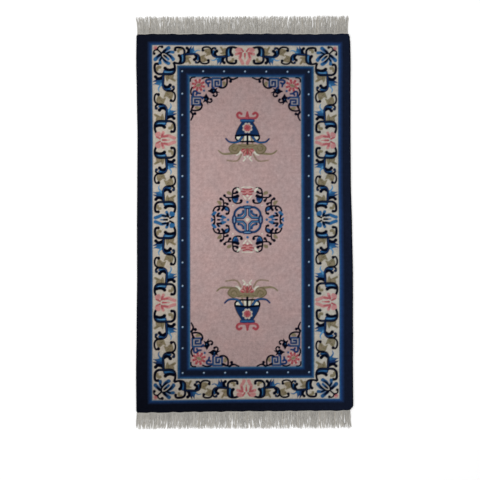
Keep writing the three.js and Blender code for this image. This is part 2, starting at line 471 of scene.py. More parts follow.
CORNER_STEM = [
    Spot("blush", 18, (-42, 0)),
    Spot("coral", 8, (-39, 1)),
    Line("ink", 6, [(0, 0), (-18, 0), (-33, 0)], tip=7),
    Line("ink", 6, [(-30, 0), (-36, 9), (-34, 18), (-27, 22)]),
    Spot("ink", 12, (-27, 22)),
    Line("ink", 6, [(-30, 0), (-36, -9), (-34, -18), (-27, -22)]),
    Spot("ink", 12, (-27, -22)),
]
DEEPER_BLUES = {"sky": "petal", "petal": "mid", "mid": "royal", "royal": "deep"}
CORNER_FLOWER_INSET = (45, 40)
CORNER_FLOWER_STRETCH = (1.06, 0.94)
END_PEONY_STRETCH = 1.15
END_PEONY_ROOM = 6
SCROLL_CORNER_GAP = (20, 5)
SIDE_PEONIES = (-344.2, 345.3)
SIDE_BLUE = 6.8


def deeper(marks):
    """The same marks in the deeper blues of the near end."""
    return [mark._replace(wool=DEEPER_BLUES.get(mark.wool, mark.wool)) for mark in marks]


def paint_scroll(chart, start, end, outwards, start_marks=SCROLL, end_marks=SCROLL):
    """One scroll between two flowers: the half at the end is the half at the start turned half round."""
    start, end, outwards = (np.array(v, float) for v in (start, end, outwards))
    run = end - start
    along = run / (2 * SCROLL_REACH)
    chart.draw(start_marks, Place(start, along, outwards))
    chart.draw(end_marks, Place(end, -along, -outwards))


def paint_scroll_border(chart):
    """Scrolls between pink and blue flowers on the sides and ends, and a flower in each corner."""
    side_x = (SCROLL_BAND.half_width + GUARD_BAND.half_width) / 2
    end_y = (SCROLL_BAND.half_length + GUARD_BAND.half_length) / 2
    end_squeeze = (SCROLL_BAND.half_length - GUARD_BAND.half_length) / (2 * SCROLL_HALF_WIDTH)
    corner_x = SCROLL_BAND.half_width - CORNER_FLOWER_INSET[0]
    corner_y = SCROLL_BAND.half_length - CORNER_FLOWER_INSET[1]
    slant_x, slant_y = np.array(CORNER_FLOWER_STRETCH) * math.sqrt(0.5)
    for sx in (-1, 1):
        edge = DESIGN_SHIFT + (sx * side_x, 0)
        out = (sx, 0)
        blue = edge + (0, SIDE_BLUE)
        for sy, place in zip((-1, 1), SIDE_PEONIES):
            pink = edge + (0, place)
            paint_scroll(chart, blue, pink, out)
            corner = edge + (0, sy * (corner_y - SCROLL_CORNER_GAP[1]))
            paint_scroll(chart, corner, pink, out, deeper(SCROLL) if sy < 0 else SCROLL)
            whole = Place(pink, (0, 1), (-sx, 0))
            chart.draw(PINK_PEONY, whole, whole.flipped())
        whole = Place(blue, (0, 1), (sx, 0))
        chart.draw(BLUE_PEONY, whole, whole.flipped())
    for sy in (-1, 1):
        pink = DESIGN_SHIFT + (0, sy * end_y)
        out = (0, sy * end_squeeze)
        scroll, flower = (deeper(marks) if sy < 0 else marks for marks in (SCROLL, CORNER_FLOWER))
        for sx in (-1, 1):
            start = pink + (sx * (corner_x - SCROLL_CORNER_GAP[0]), 0)
            paint_scroll(chart, start, pink + (sx * END_PEONY_ROOM, 0), out, scroll, scroll)
            corner = DESIGN_SHIFT + (sx * corner_x, sy * corner_y)
            inwards, beside = (-sx * slant_x, -sy * slant_y), (sx * slant_x, -sy * slant_y)
            chart.draw(CORNER_STEM, Place(corner, inwards, beside))
            whole = Place(corner, beside, inwards)
            chart.draw(flower, whole, whole.flipped())
        whole = Place(pink, (END_PEONY_STRETCH, 0), (0, -sy * end_squeeze))
        chart.draw(PINK_PEONY, whole, whole.flipped())


# Corner pieces of the field: half a piece, by distance along the end and then along the side

FRET_CORNER = [
    Line("ink", 6.5, [(52, 9), (66, 4), (80, 5), (91, 12)]),
    Line("royal", 9.5, [(89, 14), (72, 15), (68, 24), (76, 31), (84, 27)]),
    Line("royal", 10, [(76, 30), (78, 37), (79, 44)], tip=8),
    Patch("ash", [(95, 8), (132, 8), (132, 43), (95, 45)], straight=True),
    Line("royal", 8.5, [(103, 54), (95, 46), (95, 8), (133, 8), (133, 44), (108, 44), (108, 21), (121, 21),
                        (121, 32)], straight=True),
    Line("mid", 3, [(95, 42), (95, 8), (133, 8), (133, 42)], straight=True),
    Patch("olive", [(139, 25), (146, 20), (153, 28), (154, 41), (147, 47), (141, 37)]),
    Line("ink", 11, [(137, 13), (144, 10), (152, 7)], tip=7),
    Line("ink", 7.5, [(157, 6), (159, 22), (156, 38), (147, 48), (134, 51), (125, 48)]),
    Line("ink", 9.5, [(164, 4), (176, 11), (187, 11), (203, 4)], tip=6),
    Line("ink", 7.5, [(176, 11), (174, 20)]),
    Spot("ink", 13, (173, 21)),
    Line("royal", 8, [(95, 46), (97, 54), (99, 62)]),
]
FRET_FLOWER = [
    Patch("ink", [(75, 61), (86, 54), (91, 48), (101, 52), (118, 47), (114, 58), (127, 69), (111, 69),
                  (98, 75), (86, 68)]),
    Spot("petal", 3.2, (101, 60)),
    Line("ink", 6.5, [(112, 65), (116, 77), (110, 85), (102, 84)]),
    Spot("ink", 10, (101, 81)),
]
FRET_CORNER_MIDDLE = [
    Line("ink", 6, [(2, 21), (3, 10), (10, 4), (21, 3)]),
    Spot("mid", 10, (60, 64)),
]
FRET_FLOWER_SHIFTS = ((0, 4), (8, 4))
CORNER_START = (235, 618)
CORNER_ROSE = (36, 39)
CORNER_ROSE_PETALS = 8
CORNER_ROSE_TURN = 0.35
CORNER_ROSE_RINGS = ((13, 8.5), (23.5, 10.5))
CORNER_ROSE_RIM = 3
CORNER_ROSE_DOT = 4
CORNER_ROSE_HEART = ((-11, 5), (-2, -6), (11, -5), (3, 6))
CORNER_STRETCHES = {(-1, 1): 0.93}
CORNER_SQUEEZE = 0.95
CORNER_TURN_SQUEEZE = 0.92


def corner_rose():
    """A full rose: each petal a pair of dark spots on a light ground, about a green heart."""
    (inner, inner_spot), (outer, outer_spot) = CORNER_ROSE_RINGS
    count, turn = CORNER_ROSE_PETALS, CORNER_ROSE_TURN
    roots, tips = (ring(CORNER_ROSE, reach, count, turn) for reach in (inner, outer))
    dots, pips = (ring(CORNER_ROSE, reach, count, turn + 0.5) for reach in ((inner + outer) / 2, outer))
    marks = []
    for root, tip, dot, pip in zip(roots, tips, dots, pips):
        marks += [Line("blush", inner_spot, [root, tip], tip=outer_spot + CORNER_ROSE_RIM, straight=True),
                  Line("coral", inner_spot / 2, [root, tip], straight=True),
                  Spot("rose", inner_spot, root), Spot("rose", outer_spot, tip),
                  Spot("coral", CORNER_ROSE_DOT, dot), Spot("ivory", CORNER_ROSE_DOT, pip)]
    x, y = CORNER_ROSE
    marks.append(Patch("olive", [(x + right, y + up) for right, up in CORNER_ROSE_HEART]))
    return marks


def paint_corner_pieces(chart):
    """A rose between frets in each corner of the field."""
    for sx in (-1, 1):
        for sy in (-1, 1):
            origin = DESIGN_SHIFT + (-sx * CORNER_START[0], -sy * CORNER_START[1])
            stretch = CORNER_STRETCHES.get((sx, sy), 1.0)
            whole = Place(origin, (sx * stretch, 0), (0, sy * CORNER_SQUEEZE))
            swapped = Place(origin, (0, sy * CORNER_TURN_SQUEEZE), (sx, 0))
            chart.draw(corner_rose(), whole)
            chart.draw(FRET_CORNER, whole, swapped)
            for place, shift in zip((whole, swapped), FRET_FLOWER_SHIFTS):
                chart.draw(FRET_FLOWER, place._replace(origin=origin + (sx * shift[0], sy * shift[1])))
            chart.draw(FRET_CORNER_MIDDLE, whole)


# The medallion: one quarter of its scrolls and of the roundel in it

MEDALLION_CENTRE = (7.7, 5.6)
MEDALLION_QUARTER = [
    Line("vase", 10.5, [(19, 52.5), (31, 52), (42, 45.5), (51, 36), (54.5, 27), (55.5, 19)]),
    Line("mid", 3, [(23, 50.5), (31, 49.5), (40.5, 43.5), (49, 34.5), (52.5, 26)]),
    Line("vase", 7, [(0, 58.5), (13, 57.5), (20, 54), (13, 49.5), (0, 48.5)]),
    Line("sky", 4.5, [(0, 53.8), (12, 53.8)], tip=3),
    Line("vase", 8, [(62.5, 0), (61.5, 11), (56, 18.5), (50, 11), (49, 0)]),
    Line("sky", 5, [(55.5, 0), (55.5, 10)], tip=3),
    Line("vase", 11.5, [(8, 46), (8, 20), (19, 8), (46, 7.5)], straight=True),
    Line("royal", 10, [(18, 37), (20, 28), (28, 21), (38, 19)], tip=10),
    Spot("deep", 11, (38, 19)),
    Line("sky", 3.2, [(9.5, 45), (9.5, 20.5), (19.5, 9.5), (45, 9)], straight=True),
    Line("petal", 3.5, [(20, 34), (21, 29), (28, 22), (34, 20)]),
    Line("ink", 6.5, [(39, 135), (50, 135), (60, 127), (63, 108), (63, 90), (57, 76), (45, 70), (32, 71)]),
    Patch("royal", [(38, 95), (41, 79), (52, 73), (61, 84), (63, 97)]),
    Line("petal", 6, [(45, 79), (53, 77), (58, 86)]),
    Line("ink", 14, [(41, 101), (50, 98), (60, 96)], tip=10),
    Line("ink", 6.5, [(32, 71), (25, 75), (26, 82)]),
    Spot("ink", 12.5, (26, 81)),
    Line("ink", 7, [(61, 113), (51, 113), (43, 118)], tip=9),
    Spot("ink", 12.5, (44, 117)),
    Spot("ink", 9.5, (41, 134)),
    Patch("olive", [(67, 107), (72, 119), (85, 121), (87, 111), (76, 106)]),
    Line("ink", 6, [(62, 95), (76, 94), (89, 95), (97, 101)]),
    Spot("ink", 12, (97, 103)),
    Line("ink", 6, [(81, 94), (79, 86), (73, 80)], tip=8),
    Spot("ink", 12, (74, 81)),
    Line("ink", 5, [(101, 58), (101, 72), (103, 83), (113, 89)], tip=8),
    Spot("ink", 12.5, (113, 89)),
    Line("ink", 6, [(99, 71), (92, 71), (84, 67)], tip=8),
    Spot("ink", 11.5, (85, 67)),
    Patch("olive", [(113, 61), (109, 73), (118, 81), (129, 79), (123, 68)]),
    Line("ink", 6.5, [(81, 27), (77.5, 39), (81, 50.5), (94, 57), (111, 58), (127, 57), (139, 50),
                      (145, 37)]),
    Line("ink", 7, [(80, 27), (87, 25)], tip=9),
    Spot("ink", 9.5, (88, 25.5)),
    Patch("royal", [(79.5, 37), (81, 48), (88, 54), (97, 53), (97, 42), (88, 37)]),
    Line("petal", 5, [(85, 41), (87, 47), (92, 50)]),
    Line("ink", 13, [(99, 55), (102, 48), (107, 41)], tip=9.5),
    Line("ink", 7, [(122, 56), (119, 48), (125, 41)], tip=9.5),
    Patch("petal", [(130, 33), (139, 37), (147, 31), (153, 22), (148, 15.5), (139, 18.5), (133, 26)]),
    Line("ink", 4.5, [(139, 0), (139, 8), (142, 16)], tip=9),
    Patch("petal", [(88, 9), (102, 19), (113, 21), (118, 14), (113, 8), (102, 4)]),
    Line("ink", 8, [(112, 16), (119, 15.5), (128, 16)], tip=7.5),
    Patch("petal", [(114, 28), (119, 32), (127, 28), (127, 22), (119, 21)]),
    Line("ink", 8.5, [(123, 26), (126, 22), (128, 17)], tip=8),
    Line("petal", 6, [(105, 0.5), (119, 0.5)]),
    Line("ink", 7, [(120, 0.5), (126, 0.5)], tip=5.5),
    Patch("petal", [(142, 0), (147, 6), (155, 9.5), (153, 0)]),
    Line("ink", 5.5, [(139, 0.5), (146, 0.5)], tip=4),
    Patch("ivory", [(29, 122), (35, 133), (46, 135), (34, 118)]),
    Line("ivory", 3.5, [(0, 138), (12, 139), (24, 137)]),
    Line("ivory", 5, [(17, 101), (11, 93), (6, 88)]),
    Spot("ivory", 7, (0, 102)),
    Line("rose", 7, [(0, 113), (10, 107), (19, 109)], tip=5),
    Line("rose", 8, [(5, 120), (15, 119), (25, 121)], tip=6),
    Line("rose", 7, [(0, 127), (9, 128), (19, 132)], tip=5),
    Line("blush", 5, [(0, 120), (9, 124), (18, 126)], tip=3),
    Line("blush", 5, [(2, 114), (10, 113), (20, 115)], tip=3),
    Spot("blush", 13, (0, 119)),
    Spot("ivory", 6, (62, 60)),
    Spot("petal", 10.5, (0, 75)),
    Spot("petal", 10.5, (82, 0)),
]
MEDALLION_HEART = [Patch("ivory", [(-8, 0), (0, 7.5), (8, 0), (0, -7.5)])]


def paint_medallion(chart):
    """The medallion: its heart, and its quarter drawn four ways round."""
    centre = DESIGN_SHIFT + MEDALLION_CENTRE
    chart.draw(MEDALLION_HEART, Place(centre))
    chart.draw(MEDALLION_QUARTER, *(Place(centre, (sx, 0), (0, sy)) for sx in (-1, 1) for sy in (-1, 1)))


# A vase of lotus: half of it, by distance from its middle line and height over its foot

VASES = {1: (9.0, 435.3, 0.93), -1: (5.7, -430.8, 0.97)}
VASE_STAND = [
    Line("rose", 10.5, [(0, -5), (28, -4), (42, -9), (46, -20), (37, -28), (27, -23)], tip=11),
    Line("rose", 21, [(0, -3), (0, -14), (0, -30)], tip=8),
    Line("coral", 4, [(0, -7), (26, -6), (38, -10)]),
]
VASE = [
    Line("straw", 8, [(28, 152), (36, 166), (46, 177), (64, 180), (93, 176)], tip=6),
    Line("olive", 12, [(60, 145), (84, 148), (106, 149), (121, 144), (133, 134)], tip=5),
    Patch("olive", [(0, 105), (16, 106), (30, 101), (44, 109), (60, 103), (76, 112), (85, 123), (80, 137),
                    (66, 147), (48, 147), (36, 139), (28, 129), (0, 126)]),
    Line("moss", 3.5, [(36, 139), (47, 147), (66, 147), (80, 137), (85, 124), (76, 113), (60, 104)]),
    Line("moss", 3, [(44, 120), (52, 134), (66, 132), (70, 120), (60, 116)]),
    Line("moss", 3, [(0, 113), (16, 118), (32, 113), (44, 110)]),
    Line("straw", 3, [(46, 140), (62, 142), (74, 134)]),
    Line("straw", 3, [(50, 121), (56, 128), (65, 125)]),
    Line("straw", 3, [(8, 121), (20, 120), (31, 119)], tip=2),
    Patch("pink", [(23, 100), (32, 107), (40, 101), (32, 97)]),
    Line("ivory", 9, [(31, 140), (39, 149), (50, 154)], tip=5),
    Line("ivory", 7.5, [(14, 161), (10, 169), (19, 179)], tip=5),
    Spot("ivory", 8, (0, 160)),
    Patch("rose", [(0, 127), (10, 128), (22, 126), (31, 136), (20, 144), (18, 156), (10, 156), (6, 148),
                   (0, 154)]),
    Line("blush", 5, [(9, 131), (18, 135), (26, 137)]),
    Line("blush", 5, [(7, 137), (13, 146), (14, 152)]),
    Line("moss", 2.5, [(3, 130), (6, 141), (4, 152)]),
    Line("moss", 2.5, [(8, 130), (16, 140), (20, 148)]),
    Patch("ivory", [(0, 69), (46, 72), (50, 84), (38, 93), (0, 95)]),
    Line("straw", 8, [(17, 70), (19, 88), (23, 104)]),
    Line("ink", 7, [(0, 95), (24, 96), (42, 93), (53, 83), (53, 71)]),
    Line("royal", 12.5, [(21, 71), (29, 83), (39, 94), (54, 99), (72, 99), (86, 95), (98, 84)], tip=7.5),
    Line("petal", 4.5, [(23, 74), (30, 84), (40, 95), (54, 100), (72, 100), (85, 96)], tip=2),
    Line("ink", 8, [(0, 66), (0, 86), (0, 106)]),
    Patch("vase", [(0, 12), (24, 12), (30, 20), (41, 38), (50, 56), (54, 71), (28, 69), (0, 66)]),
    Line("navy", 3, [(26, 14), (40, 35), (50, 54), (54, 71)]),
    Line("ink", 8, [(0, 66), (24, 69), (53, 71)]),
    Patch("royal", [(0, 0), (30, 0), (33, 6), (28, 13), (0, 14)]),
    Line("petal", 6, [(0, 6), (26, 6)]),
]
VASE_FLOWER = (0, 37)
VASE_FLOWER_PETALS = 8
VASE_FLOWER_TURN = 0.5
PETAL_REACH, PETAL_SIZE = 17, 12.5
DOT_REACH, DOT_SIZE = 10.5, 7
RAY_REACH, RAY_WIDTH = 14, 4
ROSE_SIZE, ROSE_HEART = 30, 12


def vase_flower():
    """A round flower on the vase: cream petals about a rose heart."""
    petals, dots, rays = (ring(VASE_FLOWER, reach, VASE_FLOWER_PETALS, VASE_FLOWER_TURN)
                          for reach in (PETAL_REACH, DOT_REACH, RAY_REACH))
    return [
        *(Spot("cream", PETAL_SIZE, place) for place in petals),
        Spot("coral", ROSE_SIZE, VASE_FLOWER),
        *(Spot("blush", DOT_SIZE, place) for place in dots[::2]),
        Spot("rose", ROSE_HEART, VASE_FLOWER),
        *(Line("rose", RAY_WIDTH, [VASE_FLOWER, place], straight=True) for place in rays),
    ]


def paint_vases(chart):
    """A vase at each end of the field, its flowers towards the medallion."""
    for sy, (foot_x, foot_y, stretch) in VASES.items():
        whole = Place(DESIGN_SHIFT + (foot_x, foot_y), (stretch, 0), (0, -sy))
        chart.draw(VASE_STAND, whole, whole.flipped())
        chart.draw(VASE, whole, whole.flipped())
        chart.draw(vase_flower(), whole)


# Unevenness of the wool, and painted light and shade over the whole rug

KNOT_SEED, HEIGHT_SEED, GROUND_SEED, WRAP_SEED, FRINGE_SEED = 7, 8, 9, 10, 21
KNOT_UNEVENNESS = 0.045
ROW_UNEVENNESS = 0.012
# Painted light and shade: darker to the ends and the near end, darker to the right but lighter there at the
# ends, and darker on one slant
DARKER_TO_ENDS = 0.17
DARKER_TO_NEAR = 0.06
DARKER_TO_RIGHT, LIGHTER_TO_RIGHT_AT_ENDS = 0.08, 0.16
DARKER_ON_SLANT = 0.09
# Painted highlight on the light wool beside dark outlines: its reach in knots and its strength
BEVEL_REACH = 2
PAINTED_BEVEL_HIGHLIGHT = 0.5
INK_LIMIT = 0.011


def with_painted_highlight(colour):
    """The colours with a painted highlight on the light wool beside a dark outline, where the shears cut it
    on a slope.
    """
    ink = colour.sum(2) < INK_LIMIT
    near = ink.astype(float)
    steps = range(-BEVEL_REACH, BEVEL_REACH + 1)
    for axis in (0, 1):
        near = sum(np.roll(near, step, axis) for step in steps) / len(steps)
    return colour * (1 + PAINTED_BEVEL_HIGHLIGHT * near * ~ink)[..., None]


@lru_cache(maxsize=None)
def knot_chart():
    """The whole design, knot by knot, with the small unevenness of dyed wool, painted light and shade over
    the whole rug, and painted highlights beside dark outlines.
    """
    chart = KnotChart()
    paint_bands(chart)
    paint_pearls(chart)
    paint_corner_pieces(chart)
    paint_medallion(chart)
    paint_vases(chart)
    paint_scroll_border(chart)
    paint_glare(chart)
    chance = np.random.default_rng(KNOT_SEED)
    shape = chart.colour.shape[:2]
    uneven_and_shade = 1 + KNOT_UNEVENNESS * chance.standard_normal(shape)
    uneven_and_shade += ROW_UNEVENNESS * chance.standard_normal((shape[0], 1))
    # Painted light and shade over the whole rug, on top of the wool's random unevenness
    across, along = chart.shares()
    uneven_and_shade -= DARKER_TO_ENDS * along ** 2 - DARKER_TO_NEAR * along + DARKER_ON_SLANT * across * along
    uneven_and_shade -= across * (DARKER_TO_RIGHT - LIGHTER_TO_RIGHT_AT_ENDS * along ** 2)
    chart.colour = with_painted_highlight(chart.colour) * uneven_and_shade[..., None]
    return chart


# The rug's true outline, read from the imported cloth

OUTLINE_HEIGHT = 0.0034
HEIGHT_SLACK = 0.0001
PLACE_DIGITS = 6
EDGE_FROM, CORNER_FROM = 0.97, 0.985


@lru_cache(maxsize=None)
def outline():
    """The sides' X by Y and the ends' Y by X, each as sorted places and values."""
    places = np.array([v.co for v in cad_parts["pile_cloth"].data.vertices])
    level = np.abs(places[:, 2] - OUTLINE_HEIGHT) < HEIGHT_SLACK
    rim = np.unique(places[level][:, :2].round(PLACE_DIGITS), axis=0)
    half = (rim.max(0) - rim.min(0)) / 2
    middle = (rim.max(0) + rim.min(0)) / 2
    share = (rim - middle) / half
    lines = {}
    for name, axis, sign in (("left", 0, -1), ("right", 0, 1), ("near", 1, -1), ("far", 1, 1)):
        edge = rim[(share[:, axis] * sign > EDGE_FROM) & (np.abs(share[:, 1 - axis]) < CORNER_FROM)]
        edge = edge[np.argsort(edge[:, 1 - axis])]
        lines[name] = (edge[:, 1 - axis], edge[:, axis])
    return lines


# How the straight rug lies: radii, waves and their reach in millimetres, overhangs and leans in metres
CORNER_RADIUS = 6.5
NEAR_RIGHT_RADII = (26, 22)
FAR_RIGHT_RADII = (10, 38)
END_WAVES = ((0.9, 13.0), (0.6, 7.1))
END_WAVE_REACH = 60
SIDE_STRAIGHTNESS = 5
END_STRAIGHTNESS = 8
SIDE_OVERHANGS = {"left": -0.0008, "right": 0.0026}
TAPER = 0.0015
RIGHT_LEAN = 0.0085
FAR_LEAN = 0.0055


def lay(x, y):
    """Plan places in metres of points of the straight rug in millimetres: they follow its uneven edges."""
    half = np.array((sizes().width, sizes().length)) / 2 / MM
    right_radii = np.where(y[..., None] < 0, NEAR_RIGHT_RADII, FAR_RIGHT_RADII)
    radii = np.where(x[..., None] > 0, right_radii, CORNER_RADIUS)
    radius_x, radius_y = radii[..., 0], radii[..., 1]
    inner_x, inner_y = half[0] - radius_x, half[1] - radius_y
    over_x, over_y = np.maximum(np.abs(x) - inner_x, 0), np.maximum(np.abs(y) - inner_y, 0)
    turn_x, turn_y = over_x / radius_x, over_y / radius_y
    pull = np.maximum(turn_x, turn_y) / np.maximum(np.hypot(turn_x, turn_y), TINY)
    pull = np.where((over_x > 0) & (over_y > 0), pull, 1)
    x = np.sign(x) * (np.minimum(np.abs(x), inner_x) + over_x * pull)
    y = np.sign(y) * (np.minimum(np.abs(y), inner_y) + over_y * pull)
    share_x, share_y = x / half[0], y / half[1]
    plan_x = follow(share_x, CLOTH_MIDDLE.y + y * MM, "left", "right", SIDE_STRAIGHTNESS)
    inside = np.clip(share_x, 0, 1)
    plan_x = plan_x + RIGHT_LEAN * share_y * inside * (1 - inside ** SIDE_STRAIGHTNESS)
    tapered = share_y * (1 - TAPER * share_x)
    plan_y = follow(tapered, CLOTH_MIDDLE.x + x * MM, "near", "far", END_STRAIGHTNESS)
    beyond = np.clip(share_y, 0, 1)
    plan_y = plan_y - FAR_LEAN * share_x * beyond * (1 - beyond ** END_STRAIGHTNESS)
    wave = sum(height * np.sin(x / run) for height, run in END_WAVES)
    return plan_x, plan_y + wave * np.clip(1 - (half[1] - np.abs(y)) / END_WAVE_REACH, 0, 1) ** 2 * MM


def follow(share, place, low, high, straightness):
    """Where a share from -1 to 1 falls between two uneven edges: near an edge it follows its turns."""
    middles, turns = [], []
    for edge in (low, high):
        places, values = outline()[edge]
        even = np.linspace(places[0], places[-1], len(places))
        overhang = SIDE_OVERHANGS.get(edge, 0)
        middles.append(np.interp(even, places, values).mean() + overhang)
        turns.append(np.interp(place, places, values) + overhang - middles[-1])
    straight = middles[0] + (middles[1] - middles[0]) * (share + 1) / 2
    near_low, near_high = np.clip(-share, 0, 1) ** straightness, np.clip(share, 0, 1) ** straightness
    return straight + turns[0] * near_low + turns[1] * near_high


# Making pieces

SHADE_MAP = "OFBake"
YARN_COLOUR = "yarn_colour"


def new_piece(name, points, faces, material, flat_from=None):
    """A mesh piece of the rug that rides with its one body."""
    mesh = bpy.data.meshes.new(name)
    mesh.from_pydata(points, [], faces)
    if mesh.validate(verbose=False):
        raise RuntimeError(f"{name} has faces that Blender can't keep")
    smooth = np.ones(len(mesh.polygons), bool)
    if flat_from is not None:
        smooth[flat_from:] = False
    mesh.polygons.foreach_set("use_smooth", smooth)
    mesh.materials.append(material)
    piece = bpy.data.objects.new(name, mesh)
    bpy.context.scene.collection.objects.link(piece)
    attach(piece, "root")
    return piece


def set_colours(piece, colours):
    """Gives each point of a piece its yarn's colour."""
    layer = piece.data.color_attributes.new(YARN_COLOUR, "FLOAT_COLOR", "POINT")
    filled = np.ones((len(colours), 4), np.float32)
    filled[:, :3] = colours
    layer.data.foreach_set("color", filled.ravel())


def corner_points(mesh):
    """The point at each corner of a mesh's faces."""
    found = np.empty(len(mesh.loops), np.int32)
    mesh.loops.foreach_get("vertex_index", found)
    return found


def tube_quads(rings, sides):
    """The faces between rings of points, each ring with as many points as the tube has sides."""
    start = np.arange(rings - 1)[:, None] * sides
    first, beside = start + np.arange(sides), start + (np.arange(sides) + 1) % sides
    return np.stack([first, beside, beside + sides, first + sides], 2).reshape(-1, 4)


class Pane(NamedTuple):
    """A part of a piece's texture map: its start and size, across and up."""

    left: float
    width: float
    low: float
    height: float
    upright: bool = False

    def put(self, share):
        """Map places of shares of a box: by plan, or on an upright pane by run and height."""
        across, up = share[:, 0], share[:, 1]
        if self.upright:
            across, up = across + up, share[:, 2]
        return np.stack([self.left + self.width * across, self.low + self.height * up], 1)


WALL_PANE = Pane(0.01, 0.49, 0.005, 0.02, upright=True)


def set_map(piece, places):
    """Lays a piece's corners out on its texture map."""
    layer = piece.data.uv_layers.new(name=SHADE_MAP)
    layer.uv.foreach_set("vector", np.asarray(places, np.float32).ravel())


def box_shares(points, corners):
    """Where corners at some of the points lie in the points' box, from 0 to 1 along each side."""
    low, high = points.min(0), points.max(0)
    return (points[corners] - low) / (high - low)


def set_box_map(piece, points, panes, counts):
    """Lays a piece out on panes of its map: each but the last takes its count of four-sided faces."""
    share = box_shares(points, corner_points(piece.data))
    parts = np.split(share, 4 * np.cumsum(counts))
    set_map(piece, np.vstack([pane.put(part) for pane, part in zip(panes, parts)]))


# Shaders

MIX_FIRST, MIX_SECOND, MIX_RESULT = 6, 7, 2
NOISE_MIDDLE = 0.5
PLAIN_DETAIL, SOFT_DETAIL = 2.0, 3.0
ROUGHNESS_SPREAD = 0.1


class Value:
    """A shader socket that takes part in Python sums."""

    def __init__(self, shader, socket):
        self.shader = shader
        self.socket = socket

    def math(self, operation, other):
        """The outcome of a sum with another socket or a number."""
        return self.shader.node("ShaderNodeMath", {"operation": operation}, {0: self, 1: other})

    def __add__(self, other):
        return self.math("ADD", other)

    def __sub__(self, other):
        return self.math("SUBTRACT", other)

    def __mul__(self, other):
        return self.math("MULTIPLY", other)

    __radd__ = __add__
    __rmul__ = __mul__


class Finish(NamedTuple):
    """How a yarn takes the light."""

    bump: float
    bump_depth: float
    roughness: float
    specular: float
    sheen: float = 0.0
    sheen_roughness: float = 0.5


class Shader:
    """A material and the nodes that make it."""

    def __init__(self, name):
        self.material = bpy.data.materials.new(name)
        self.material.use_nodes = True
        self.tree = self.material.node_tree
        self.surface = self.tree.nodes["Principled BSDF"]

    def fill(self, node, sockets):
        """Gives a node's sockets their values or links."""
        for key, value in sockets.items():
            if isinstance(value, Value):
                self.tree.links.new(value.socket, node.inputs[key])
            else:
                node.inputs[key].default_value = value

    def node(self, kind, settings, sockets, output=0):
        """A new node's output: its settings are set first, then the values or links of its sockets."""
        node = self.tree.nodes.new(kind)
        for key, value in settings.items():
            setattr(node, key, value)
        self.fill(node, sockets)
        return Value(self, node.outputs[output])

    def place(self):
        """The place of each spot on the piece, in metres."""
        return self.node("ShaderNodeTexCoord", {}, {}, "Object")

    def yarn_colour(self):
        """The colour that the piece's points carry."""
        return self.node("ShaderNodeVertexColor", {"layer_name": YARN_COLOUR}, {})

    def times(self, first, second):
        """Two colours or places multiplied, part by part."""
        return self.node("ShaderNodeVectorMath", {"operation": "MULTIPLY"}, {0: first, 1: second})

    def noise(self, place, scale, detail=PLAIN_DETAIL):
        """Noise about zero, from about -0.5 to 0.5."""
        sockets = {"Vector": place, "Scale": scale, "Detail": detail}
        return self.node("ShaderNodeTexNoise", {}, sockets) - NOISE_MIDDLE

    def mixed(self, first, second, share):
        """A colour that goes from the first to the second as the share goes from 0 to 1."""
        sockets = {"Factor": share, MIX_FIRST: first, MIX_SECOND: second}
        return self.node("ShaderNodeMix", {"data_type": "RGBA"}, sockets, MIX_RESULT)

    def finish(self, **sockets):
        """The material, with its surface's sockets filled by their names."""
        self.fill(self.surface, {name.replace("_", " "): value for name, value in sockets.items()})
        return self.material

    def yarn(self, finish, colour, amount, height, wear):
        """The material of a yarn: a colour made lighter or darker by an amount about 1, uneven and worn."""
        shaded = self.node("ShaderNodeVectorMath", {"operation": "SCALE"}, {0: colour, "Scale": amount})
        relief = {"Strength": finish.bump, "Distance": finish.bump_depth, "Height": height}
        return self.finish(
            Base_Color=shaded, Normal=self.node("ShaderNodeBump", {}, relief),
            Roughness=finish.roughness + ROUGHNESS_SPREAD * wear, Specular_IOR_Level=finish.specular,
            Sheen_Weight=finish.sheen, Sheen_Roughness=finish.sheen_roughness)


# Scales in turns to the metre, shades and lifts as shares
WOOL_FINISH = Finish(bump=0.5, bump_depth=0.0016, roughness=0.93, specular=0.005, sheen=0.005,
                     sheen_roughness=0.6)
TUFT_SCALE, TUFT_SHADE, TUFT_LIFT = 430, 0.5, 0.7
FIBRE_SCALE, FIBRE_SHADE, FIBRE_LIFT = 1300, 0.2, 0.3
MOTTLE_SCALE, MOTTLE_SHADE, MOTTLE_LIFT = 70, 0.55, 0.3
CLOUD_SCALE, CLOUD_SHADE = 9, 0.2
WEFT_STRETCH, WEFT_SHADE = (3.0, 120.0, 1.0), 0.1
TONE_SCALE, TONE_SPREAD = 16, 2
COOL_TONE, WARM_TONE = (0.97, 1.01, 1.02, 1.0), (1.03, 0.99, 0.98, 1.0)


@lru_cache(maxsize=None)
def pile_wool():
    """Cut wool pile: the knots' colours with their painted light and shade, mottled by tufts, wefts and
    wear.
    """
    shader = Shader("wool_pile")
    place = shader.place()
    tuft = shader.noise(place, TUFT_SCALE)
    fibre = shader.noise(place, FIBRE_SCALE)
    mottle = shader.noise(place, MOTTLE_SCALE, SOFT_DETAIL)
    cloud = shader.noise(place, CLOUD_SCALE, SOFT_DETAIL)
    weft = shader.noise(shader.times(place, WEFT_STRETCH), 1.0)
    amount = 1 + TUFT_SHADE * tuft + FIBRE_SHADE * fibre + MOTTLE_SHADE * mottle
    amount = amount + CLOUD_SHADE * cloud + WEFT_SHADE * weft
    tone = NOISE_MIDDLE + TONE_SPREAD * shader.noise(place, TONE_SCALE, SOFT_DETAIL)
    colour = shader.times(shader.yarn_colour(), shader.mixed(COOL_TONE, WARM_TONE, tone))
    height = TUFT_LIFT * tuft + FIBRE_LIFT * fibre + MOTTLE_LIFT * mottle
    return shader.yarn(WOOL_FINISH, colour, amount, height, mottle)


GROUND_FINISH = Finish(bump=0.5, bump_depth=0.001, roughness=0.9, specular=0.15)
GROUND_SHADE = 0.95
LOOP_SHADE = 0.5
GROUND_WEFT_STRETCH, GROUND_WEFT_SHADE = (40.0, 400.0, 1.0), 0.3


